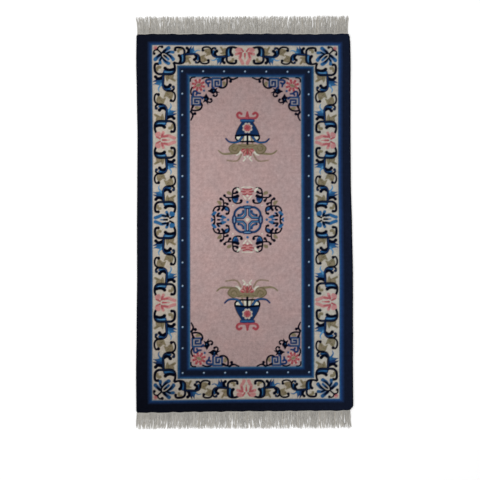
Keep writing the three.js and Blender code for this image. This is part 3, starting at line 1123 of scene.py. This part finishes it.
@lru_cache(maxsize=None)
def ground_weave():
    """The back of the knots: wool loops in rows between cotton wefts."""
    shader = Shader("ground_weave")
    place = shader.place()
    loop = shader.noise(place, TUFT_SCALE)
    weft = shader.noise(shader.times(place, GROUND_WEFT_STRETCH), 1.0)
    amount = GROUND_SHADE + LOOP_SHADE * loop + GROUND_WEFT_SHADE * weft
    return shader.yarn(GROUND_FINISH, shader.yarn_colour(), amount, loop + weft, loop)


COTTON_FINISH = Finish(bump=0.4, bump_depth=0.0006, roughness=0.9, specular=0.2, sheen=0.05)
COTTON_SCALE, COTTON_SHADE = 1500, 0.3
DUST_SCALE, DUST_SHADE = 35, 0.25


@lru_cache(maxsize=None)
def fringe_cotton():
    """Undyed cotton warp: soft twisted yarn, dusty in places."""
    shader = Shader("cotton_fringe")
    place = shader.place()
    fibre = shader.noise(place, COTTON_SCALE)
    dust = shader.noise(place, DUST_SCALE, SOFT_DETAIL)
    amount = 1 + COTTON_SHADE * fibre + DUST_SHADE * dust
    return shader.yarn(COTTON_FINISH, shader.yarn_colour(), amount, fibre, fibre)


# Pile

# Heights in metres by places in millimetres, then the change of colour that the shears follow
PILE_JITTER = 0.00022
PILE_WAVE = 0.00035
WAVE_RUN_ACROSS, WAVE_RUN_ALONG, WAVE_START = 71, 97, 0.7
WAVE_BEND, WAVE_BEND_RUN = 1.3, 133
SHOULDER_DROPS = ((0.0, 0.0038), (1.6, 0.0016), (4.4, 0.0003), (7.0, 0.0))
CARVED_FROM, CARVED_RANGE = 0.12, 0.35
PILE_PANES = (Pane(0.01, 0.98, 0.08, 0.91), WALL_PANE, Pane(0.01, 0.98, 0.04, 0.02))


def carved(chart):
    """How deep the shears cut at each knot: most where the wool changes colour sharply."""
    seen = np.sqrt(np.clip(chart.colour, 0, None))
    change = np.zeros(seen.shape[:2])
    for axis in (0, 1):
        step = np.abs(np.diff(seen, axis=axis)).sum(2)
        for beside in (slice(0, -1), slice(1, None)):
            part = [slice(None)] * 2
            part[axis] = beside
            part = tuple(part)
            change[part] = np.maximum(change[part], step)
    return np.clip((change - CARVED_FROM) / CARVED_RANGE, 0, 1)


def pile_heights(chart):
    """Height of each knot's cut tip over the floor."""
    chance = np.random.default_rng(HEIGHT_SEED)
    x, y = np.meshgrid(chart.across, chart.along)
    bend = WAVE_BEND * np.sin(y / WAVE_BEND_RUN)
    wave = np.sin(x / WAVE_RUN_ACROSS + bend) * np.sin(y / WAVE_RUN_ALONG + WAVE_START)
    rim = np.minimum(chart.half_width - np.abs(x), chart.half_length - np.abs(y))
    shoulder = np.interp(rim, *zip(*SHOULDER_DROPS))
    jitter = PILE_JITTER * chance.standard_normal(x.shape)
    return sizes().pile_top - sizes().carving * carved(chart) - shoulder + PILE_WAVE * wave + jitter


class Frame(NamedTuple):
    """A rectangle of the chart, by its first and last columns and rows."""

    left: int
    right: int
    low: int
    high: int

    def loop(self, row_size):
        """Its edge's points, anticlockwise from the low left corner, and where each side starts."""
        columns, rows = np.arange(self.left, self.right + 1), np.arange(self.low, self.high + 1)
        sides = (self.low * row_size + columns[:-1], rows[:-1] * row_size + self.right,
                 self.high * row_size + columns[:0:-1], rows[:0:-1] * row_size + self.left)
        return np.concatenate(sides), np.cumsum([0] + [len(side) for side in sides])


def chart_frame(chart, band):
    """The knots inside a band's outer edge."""
    half = np.array((band.half_width, band.half_length))
    (low_x, low_y), (high_x, high_y) = DESIGN_SHIFT - half, DESIGN_SHIFT + half
    left, right = np.searchsorted(chart.across, (low_x, high_x))
    low, high = np.searchsorted(chart.along, (low_y, high_y))
    return Frame(left, min(right, chart.columns), low, min(high, chart.rows))


def pile_piece(name, chart, heights, outer, inner):
    """One closed area of pile between two rectangles of the chart, or inside one."""
    row_size = chart.columns + 1
    columns, rows = np.meshgrid(np.arange(outer.left, outer.right), np.arange(outer.low, outer.high))
    if inner:
        kept = (columns < inner.left) | (columns >= inner.right) | (rows < inner.low) | (rows >= inner.high)
        columns, rows = columns[kept], rows[kept]
    first = (rows * row_size + columns).ravel()
    quads = np.stack([first, first + 1, first + 1 + row_size, first + row_size], 1)
    used, quads = np.unique(quads, return_inverse=True)
    quads = quads.reshape(-1, 4)
    x, y = np.meshgrid(chart.across, chart.along)
    plan_x, plan_y = lay(x.ravel()[used], y.ravel()[used])
    top = np.stack([plan_x, plan_y, heights.ravel()[used]], 1)
    top_colours = chart.colour.reshape(-1, 3)[used]
    points, colours, faces, rims = [top], [top_colours], quads.tolist(), []
    for edge in filter(None, (outer, inner)):
        loop, sides = edge.loop(row_size)
        high = np.searchsorted(used, loop)
        low = sum(len(part) for part in points) + np.arange(len(loop))
        points.append(top[high] * (1, 1, 0) + (0, 0, sizes().ground))
        colours.append(top_colours[high])
        walls = np.stack([np.roll(high, -1), high, low, np.roll(low, -1)], 1)
        faces += (walls if edge is outer else walls[:, ::-1]).tolist()
        rims.append([np.append(low, low[0])[start:end + 1] for start, end in zip(sides, sides[1:])])
    wall_count = len(faces) - len(quads)
    if inner:
        faces += [np.concatenate([across[::-1], back]).tolist() for across, back in zip(*rims)]
    else:
        faces.append(np.concatenate([side[:-1] for side in rims[0]])[::-1].tolist())
    points = np.concatenate(points)
    piece = new_piece(name, points, faces, pile_wool(), flat_from=len(quads))
    set_colours(piece, np.concatenate(colours))
    set_box_map(piece, points, PILE_PANES, (len(quads), wall_count))


class RUG_OT_pile(bpy.types.Operator):
    """Knots the pile: the field, the pearl guard, the scroll border and the outer border"""

    bl_idname = "rug.pile"
    bl_label = "Knot the pile"

    def execute(self, context):
        chart = knot_chart()
        heights = pile_heights(chart)
        frames = [chart_frame(chart, band) for band in (OUTER_BAND, SCROLL_BAND, GUARD_BAND, FIELD_BAND)]
        names = ("pile_outer_border", "pile_scroll_border", "pile_pearl_guard", "pile_field")
        for name, outer, inner in zip(names, frames, frames[1:] + [None]):
            pile_piece(name, chart, heights, outer, inner)
        return {"FINISHED"}


# Ground cloth and overcast sides

# Steps, insets and runs in millimetres, heights in metres
GROUND_STEP = 6.4
GROUND_INSET = 1.6
GROUND_KNOT_ROWS = 0.00012
GROUND_PANES = (Pane(0.01, 0.98, 0.04, 0.47), Pane(0.01, 0.98, 0.52, 0.47), WALL_PANE)
OVERCAST_STEP, OVERCAST_SIDES = 1.13, 8
OVERCAST_INSET = 1
OVERCAST_END, OVERCAST_END_GIRTH = 3, 0.25
OVERCAST_LIFT = 0.0006
OVERCAST_TALLER = 1.1
OVERCAST_PANE = Pane(0.01, 0.98, 0.02, 0.96)
WRAP_RUN, WRAP_RINGS, WRAP_RIDGE = 3.4, 3, 0.14
WRAP_SHADES = (0.8, 1.25)


class RUG_OT_ground(bpy.types.Operator):
    """Weaves the ground cloth, with the knots' backs underneath, and overcasts its long sides"""

    bl_idname = "rug.ground"
    bl_label = "Weave the ground"

    def execute(self, context):
        ground = self.cloth()
        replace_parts(ground, "pile_cloth")
        for side in (-1, 1):
            self.overcast(side)
        return {"FINISHED"}

    def cloth(self):
        """A thin woven slab, slightly uneven underneath."""
        half_x, half_y = (size / 2 / MM - GROUND_INSET for size in (sizes().width, sizes().length))
        across = np.linspace(-half_x, half_x, round(2 * half_x / GROUND_STEP) + 1)
        along = np.linspace(-half_y, half_y, round(2 * half_y / GROUND_STEP) + 1)
        x, y = (places.ravel() for places in np.meshgrid(across, along))
        size, count = len(across), len(x)
        under = np.stack([*lay(x, y), np.zeros(count)], 1)
        over = under + (0, 0, sizes().ground)
        chance = np.random.default_rng(GROUND_SEED)
        under[:, 2] += GROUND_KNOT_ROWS * (1 + np.sin(chance.uniform(0, 2 * math.pi, count)))
        first = (np.arange(len(along) - 1)[:, None] * size + np.arange(size - 1)).ravel()
        quads = np.stack([first, first + 1, first + 1 + size, first + size], 1)
        edge, _ = Frame(0, size - 1, 0, len(along) - 1).loop(size)
        walls = np.stack([edge, np.roll(edge, -1), np.roll(edge, -1) + count, edge + count], 1)
        faces = quads[:, ::-1].tolist() + (quads + count).tolist() + walls.tolist()
        points = np.vstack([under, over])
        flat_from = 2 * len(quads)
        ground = new_piece("ground_cloth", points, faces, ground_weave(), flat_from)
        set_colours(ground, np.tile(knot_chart().colours_at(x, y), (2, 1)))
        set_box_map(ground, points, GROUND_PANES, (len(quads), len(quads)))
        return ground

    def overcast(self, side):
        """A rolled edge wrapped over and over with navy wool."""
        half = sizes().length / 2 / MM - OVERCAST_INSET
        along = np.linspace(-half, half, round(2 * half / OVERCAST_STEP) + 1)[:, None]
        angle = np.linspace(0, 2 * math.pi, OVERCAST_SIDES, endpoint=False)[None, :]
        radius = sizes().overcast / 2 / MM
        ridge = np.abs(np.sin(math.pi * (along / WRAP_RUN + angle / (2 * math.pi))))
        ends = np.clip((half - np.abs(along)) / OVERCAST_END, OVERCAST_END_GIRTH, 1)
        girth = radius * (1 - WRAP_RIDGE + WRAP_RIDGE * ridge) * ends
        centre_x = side * (sizes().width / 2 / MM - radius)
        plan_x, plan_y = lay(np.full(along.shape, centre_x), along)
        x = plan_x + girth * np.cos(angle) * MM
        z = radius * MM + OVERCAST_LIFT + girth * np.sin(angle) * MM * OVERCAST_TALLER
        points = np.stack([x, np.broadcast_to(plan_y, x.shape), z], 2).reshape(-1, 3)
        rings = len(along)
        quads = tube_quads(rings, OVERCAST_SIDES)[:, [0, 3, 2, 1]]
        start_cap = np.arange(OVERCAST_SIDES)
        end_cap = (rings - 1) * OVERCAST_SIDES + start_cap[::-1]
        faces = quads.tolist() + [start_cap.tolist(), end_cap.tolist()]
        name = "overcast_left" if side < 0 else "overcast_right"
        piece = new_piece(name, points, faces, pile_wool())
        chance = np.random.default_rng(WRAP_SEED + side)
        wraps = chance.uniform(*WRAP_SHADES, rings // WRAP_RINGS + 1).repeat(WRAP_RINGS)[:rings]
        set_colours(piece, (wraps[:, None, None] * wool("navy")).repeat(OVERCAST_SIDES, 1).reshape(-1, 3))
        run, turn = np.divmod(corner_points(piece.data), OVERCAST_SIDES)
        share = np.stack([run / rings, turn / OVERCAST_SIDES], 1)
        seam = share[:4 * len(quads), 1].reshape(-1, 4)
        seam[:, 2:] = np.where(seam[:, 2:] < seam[:, :2], 1.0, seam[:, 2:])
        share[:4 * len(quads), 1] = seam.ravel()
        set_map(piece, OVERCAST_PANE.put(share))


# Fringe

# Margins in millimetres, lengths in metres, the rest as shares or by the share of a yarn's length
END_SIGNS = {"near": -1, "far": 1}
FRINGE_MARGINS = {"near": (2.5, 13.0), "far": (5.0, 11.0)}
ROOT_GAP = 0.002
ROOT_UNEVENNESS = 0.3
YARN_SIDES, YARN_STATIONS = 5, 22
YARN_POINTS = YARN_SIDES * YARN_STATIONS
YARN_LENGTHS, YARN_LENGTH_POWER = (0.84, 1.0), 0.8
YARN_THICKNESSES = (0.75, 1.15)
YARN_TAPER = ((0, 0.08, 0.8, 1), (0.9, 1, 1, 0.4))
YARN_TWIST, YARN_RIDGE = 9.0, 0.16
YARN_WAVES = ((0.003, (2, 5)), (0.0009, (9, 16)))
WAVE_STARTS = (0, 7)
YARN_LIFT, LAYER_POWER = 0.0022, 1.5
LIFT_ALONG = ((0, 0.15, 0.6, 1), (0.5, 1, 0.8, 0.25))
YARN_REST, YARN_FLATNESS = 0.46, 0.92
FLOOR_CLEARANCE = 0.0001
FRINGE_SPREAD = 0.012
LEAN_POWER = 1.6
SWEEPS, SWEEP_STARTS = ((0.003, 11), (0.002, 29)), (0, 6)
TUFT_YARNS, TUFT_LEAN, STRAY_LEAN = 7, 0.0014, 0.0026
SHADE_SPREAD, SHADE_SWING, SHADE_SWING_PACE = 0.1, 0.04, 83
# Painted light: the yarns that lie higher in the heap are lighter
UPPER_PAINTED_LIGHTER = 0.05
WARM_FROM, WARMER = 1.1, (0.02, -0.03, -0.1)
YARN_FADE = ((0, 0.2, 0.75, 1), (0.95, 0.97, 1.03, 1.15))
YARN_PANE, YARN_MAP_START, YARN_MAP_WIDTH = Pane(0, 1, 0.06, 0.93), 0.1, 0.8
WEB_STATIONS = 480
WEB_PROFILE = ((0.0, 0.0), (0.0, 0.0034), (0.003, 0.0036), (0.0056, 0.003), (0.0062, 0.0))
WEB_RIB, WEB_RIB_PACE = 0.0003, 2.2
WEB_SHADE = 1.05
WEB_PANE = Pane(0, 1, 0.005, 0.02)


class RUG_OT_fringe(bpy.types.Operator):
    """Ties the warp ends off into a combed cotton fringe at each end of the rug"""

    bl_idname = "rug.fringe"
    bl_label = "Tie the fringe"

    def execute(self, context):
        for end in ("near", "far"):
            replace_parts(self.fringe(end), f"fringe_{end}")
        return {"FINISHED"}

    def fringe(self, end):
        """The yarns of one end, and the web that they come out of."""
        chance = np.random.default_rng(FRINGE_SEED + END_SIGNS[end])
        roots, layer, yarn_points = self.yarns(end, chance)
        web_points, web_faces = self.web(end)
        web_start = len(yarn_points)
        points = np.vstack([yarn_points, web_points])
        faces = self.yarn_faces(end) + [[corner + web_start for corner in face] for face in web_faces]
        piece = new_piece(f"fringe_{end}_yarns", points, faces, fringe_cotton())
        web_colours = np.tile(wool("cotton") * WEB_SHADE, (len(web_points), 1))
        set_colours(piece, np.vstack([self.yarn_colours(roots, layer, chance), web_colours]))
        self.lay_out(piece, points, web_start)
        return piece

    def yarns(self, end, chance):
        """The yarns' roots, how high each lies on the others, and the points of all their rings."""
        sign, count = END_SIGNS[end], sizes().yarns
        low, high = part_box(f"fringe_{end}")
        roots, root_y = self.edge(end, count, chance)
        share = np.linspace(0, 1, YARN_STATIONS)[None, :]
        reach = np.abs((high.y if sign > 0 else low.y) - root_y)[:, None]
        lengths = reach * chance.uniform(*YARN_LENGTHS, (count, 1)) ** YARN_LENGTH_POWER
        x = roots[:, None] + self.lean(roots, chance)[:, None] * share ** LEAN_POWER
        for height, paces in YARN_WAVES:
            pace = chance.uniform(*paces, (count, 1))
            x += height * np.sin(share * pace + chance.uniform(*WAVE_STARTS, (count, 1))) * share
        y = root_y[:, None] + sign * lengths * share
        thick = sizes().yarn * chance.uniform(*YARN_THICKNESSES, (count, 1)) * np.interp(share, *YARN_TAPER)
        layer = chance.uniform(0, 1, (count, 1)) ** LAYER_POWER
        z = YARN_REST * thick + layer * YARN_LIFT * np.interp(share, *LIFT_ALONG)
        angle = np.linspace(0, 2 * math.pi, YARN_SIDES, endpoint=False)
        twist = 2 * math.pi * YARN_TWIST * share + chance.uniform(*WAVE_STARTS, (count, 1))
        girth = thick[..., None] / 2 * (1 + YARN_RIDGE * np.cos(2 * (angle - twist[..., None])))
        ring_x = x[..., None] + girth * np.cos(angle)
        ring_y = np.broadcast_to(y[..., None], girth.shape)
        ring_z = np.maximum(z[..., None] + YARN_FLATNESS * girth * np.sin(angle), FLOOR_CLEARANCE)
        return roots, layer, np.stack([ring_x, ring_y, ring_z], 3).reshape(-1, 3)

    def yarn_faces(self, end):
        """The sides of every yarn, and then their roots' and tips' caps, all turned outwards."""
        sign = END_SIGNS[end]
        starts = np.arange(sizes().yarns) * YARN_POINTS
        quads = tube_quads(YARN_STATIONS, YARN_SIDES)[:, ::-sign]
        faces = (starts[:, None, None] + quads).reshape(-1, 4).tolist()
        root_cap = np.arange(YARN_SIDES)
        for cap in (root_cap, YARN_POINTS - 1 - root_cap):
            faces += (starts[:, None] + cap[::sign]).tolist()
        return faces

    def yarn_colours(self, roots, layer, chance):
        """Cotton that differs from yarn to yarn, warmer in a few, painted lighter where a yarn lies higher,
        and pales towards the tips.
        """
        count = len(roots)
        shade = chance.normal(1, SHADE_SPREAD, (count, 1))
        shade = shade + SHADE_SWING * np.sin(roots[:, None] * SHADE_SWING_PACE) + UPPER_PAINTED_LIGHTER * layer
        warm = np.clip(chance.normal(0, 1, (count, 1)) - WARM_FROM, 0, 1) * np.array(WARMER)
        fade = np.interp(np.linspace(0, 1, YARN_STATIONS), *YARN_FADE)
        colours = (wool("cotton") * (shade + warm))[:, None, :] * fade[None, :, None]
        return colours.repeat(YARN_SIDES, 1).reshape(-1, 3)

    def edge(self, end, count, chance=None):
        """Places in a row just outside an end of the cloth, which chance makes uneven."""
        sign = END_SIGNS[end]
        half_x = sizes().width / 2 / MM
        left, right = FRINGE_MARGINS[end]
        across = np.linspace(left - half_x, half_x - right, count)
        if chance:
            across += chance.uniform(-ROOT_UNEVENNESS, ROOT_UNEVENNESS, count) * (across[1] - across[0])
        x, y = lay(across, np.full(count, sign * sizes().length / 2 / MM))
        return x, y + sign * ROOT_GAP

    def lean(self, roots, chance):
        """How far each yarn's tip is combed sideways: slow sweeps, tufts that lean together and strays."""
        count = len(roots)
        sweep = sum(reach * np.sin(roots * pace + chance.uniform(*SWEEP_STARTS)) for reach, pace in SWEEPS)
        tufts = chance.normal(0, TUFT_LEAN, count // TUFT_YARNS + 1).repeat(TUFT_YARNS)[:count]
        strays = chance.normal(0, STRAY_LEAN, count)
        return sweep + FRINGE_SPREAD * roots + tufts + strays

    def web(self, end):
        """The flat-woven strip that the warp ends leave the cloth through, closed at both ends."""
        sign, sides = END_SIGNS[end], len(WEB_PROFILE)
        across, inner = self.edge(end, WEB_STATIONS)
        rib = WEB_RIB * np.sin(np.arange(WEB_STATIONS) * WEB_RIB_PACE)
        rows = [np.stack([across, inner - sign * (ROOT_GAP - out), height + rib * (height > 0)], 1)
                for out, height in WEB_PROFILE]
        cap = np.arange(sides)
        last = (WEB_STATIONS - 1) * sides
        faces = tube_quads(WEB_STATIONS, sides).tolist() + [cap[::-1].tolist(), (last + cap).tolist()]
        return np.stack(rows, 1).reshape(-1, 3), [face[::sign] for face in faces]

    def lay_out(self, piece, points, web_start):
        """A column of the map for each yarn, and a strip under them for the web."""
        corners = corner_points(piece.data)
        yarn, spot = np.divmod(corners, YARN_POINTS)
        station, side = np.divmod(spot, YARN_SIDES)
        column = (yarn + YARN_MAP_START + YARN_MAP_WIDTH * side / YARN_SIDES) / sizes().yarns
        places = YARN_PANE.put(np.stack([column, station / (YARN_STATIONS - 1)], 1))
        on_web = corners >= web_start
        share = box_shares(points[web_start:], corners[on_web] - web_start)
        share[:, 1] += share[:, 2]
        places[on_web] = WEB_PANE.put(share)
        set_map(piece, places)


# Stage: floor, light and camera

# Metres, degrees and watts, and the photo's framing in its pixels
FLOOR_SIZE = 14.0
FLOOR_TONES = ((0.94, 0.94, 0.94, 1.0), (0.96, 0.96, 0.96, 1.0))
FLOOR_MOTTLE_SCALE = 6.0
FLOOR_ROUGHNESS = 0.9
SKY_COLOUR, SKY_STRENGTH = (1.0, 1.0, 1.0, 1.0), 0.8
PHOTO_SIZE = 480
PHOTO_MM_PER_PIXEL = 4.257
PHOTO_RUG_CENTRE = (244.2, 221.4)
CAMERA_DISTANCE = 4.2
CAMERA_TILT = 2.5
CAMERA_ROLL = 0.24
SENSOR = 36.0


class Lamp(NamedTuple):
    """A square lamp that points at the middle of the rug."""

    name: str
    place: tuple
    size: float
    power: float


LAMPS = (Lamp("ceiling", (-0.5, 0.1, 3.6), 3.2, 52.0), Lamp("window", (-2.6, 1.0, 2.2), 1.6, 10.0))


class RUG_OT_stage(bpy.types.Operator):
    """Sets the pale floor, the soft studio light and the camera over the rug"""

    bl_idname = "rug.stage"
    bl_label = "Set the stage"

    def execute(self, context):
        scene = context.scene
        scene.view_settings.view_transform = "Standard"
        self.floor(scene)
        self.light(scene)
        self.camera(scene)
        return {"FINISHED"}

    def floor(self, scene):
        """A pale floor, very slightly mottled."""
        half = FLOOR_SIZE / 2
        corners = [(-half, -half, 0), (half, -half, 0), (half, half, 0), (-half, half, 0)]
        mesh = bpy.data.meshes.new("floor")
        mesh.from_pydata(corners, [], [range(len(corners))])
        shader = Shader("floor_paint")
        mottle = NOISE_MIDDLE + shader.noise(shader.place(), FLOOR_MOTTLE_SCALE)
        colour = shader.mixed(*FLOOR_TONES, mottle)
        mesh.materials.append(shader.finish(Base_Color=colour, Roughness=FLOOR_ROUGHNESS))
        floor = bpy.data.objects.new("floor", mesh)
        scene.collection.objects.link(floor)
        floor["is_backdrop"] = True

    def light(self, scene):
        """An even sky and two large lamps."""
        world = bpy.data.worlds.new("studio")
        world.use_nodes = True
        sky = world.node_tree.nodes["Background"].inputs
        sky["Color"].default_value = SKY_COLOUR
        sky["Strength"].default_value = SKY_STRENGTH
        scene.world = world
        for lamp in LAMPS:
            light = bpy.data.lights.new(lamp.name, "AREA")
            light.shape = "SQUARE"
            light.size = lamp.size
            light.energy = lamp.power
            holder = bpy.data.objects.new(lamp.name, light)
            holder.location = lamp.place
            holder.rotation_euler = (-Vector(lamp.place)).to_track_quat("-Z", "Y").to_euler()
            scene.collection.objects.link(holder)

    def camera(self, scene):
        """A camera almost straight over the rug, framed as in the photo."""
        camera = bpy.data.cameras.new("camera")
        camera.sensor_width = SENSOR
        camera.lens = SENSOR * CAMERA_DISTANCE / (PHOTO_SIZE * PHOTO_MM_PER_PIXEL * MM)
        holder = bpy.data.objects.new("camera", camera)
        tilt = math.radians(CAMERA_TILT)
        right, down = ((c - PHOTO_SIZE / 2) * PHOTO_MM_PER_PIXEL * MM for c in PHOTO_RUG_CENTRE)
        target = Vector((CLOTH_MIDDLE.x - right, CLOTH_MIDDLE.y + down, 0))
        back = Vector((0, -math.sin(tilt), math.cos(tilt)))
        turn = Matrix.Rotation(math.radians(-CAMERA_ROLL), 4, back)
        holder.matrix_world = (Matrix.Translation(target + back * CAMERA_DISTANCE) @ turn
                               @ (-back).to_track_quat("-Z", "Y").to_matrix().to_4x4())
        scene.collection.objects.link(holder)
        scene.camera = holder


# Panel and main

class RUG_PT_panel(bpy.types.Panel):
    """Lists the steps of making the rug"""

    bl_idname = "RUG_PT_panel"
    bl_label = "Hand-knotted rug"
    bl_space_type = "VIEW_3D"
    bl_region_type = "UI"
    bl_category = "Rug"

    def draw(self, context):
        for group in (context.scene.rug_sizes, context.scene.rug_wools):
            for name in group.bl_rna.properties.keys():
                if name not in ("rna_type", "name"):
                    self.layout.prop(group, name)
        for operator in OPERATORS:
            self.layout.operator(operator.bl_idname)


OPERATORS = (RUG_OT_ground, RUG_OT_pile, RUG_OT_fringe, RUG_OT_stage)
CLASSES = (RugSizes, RugWools, *OPERATORS, RUG_PT_panel)


def register():
    """Makes the rug's sizes, wools, operators and panel known to Blender."""
    for each in CLASSES:
        bpy.utils.register_class(each)
    bpy.types.Scene.rug_sizes = bpy.props.PointerProperty(type=RugSizes)
    bpy.types.Scene.rug_wools = bpy.props.PointerProperty(type=RugWools)


def unregister():
    """Takes them out again."""
    del bpy.types.Scene.rug_wools
    del bpy.types.Scene.rug_sizes
    for each in reversed(CLASSES):
        bpy.utils.unregister_class(each)


def main():
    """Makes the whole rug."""
    register()
    bpy.ops.rug.ground()
    bpy.ops.rug.pile()
    bpy.ops.rug.fringe()
    bpy.ops.rug.stage()


if __name__ == "__main__":
    main()
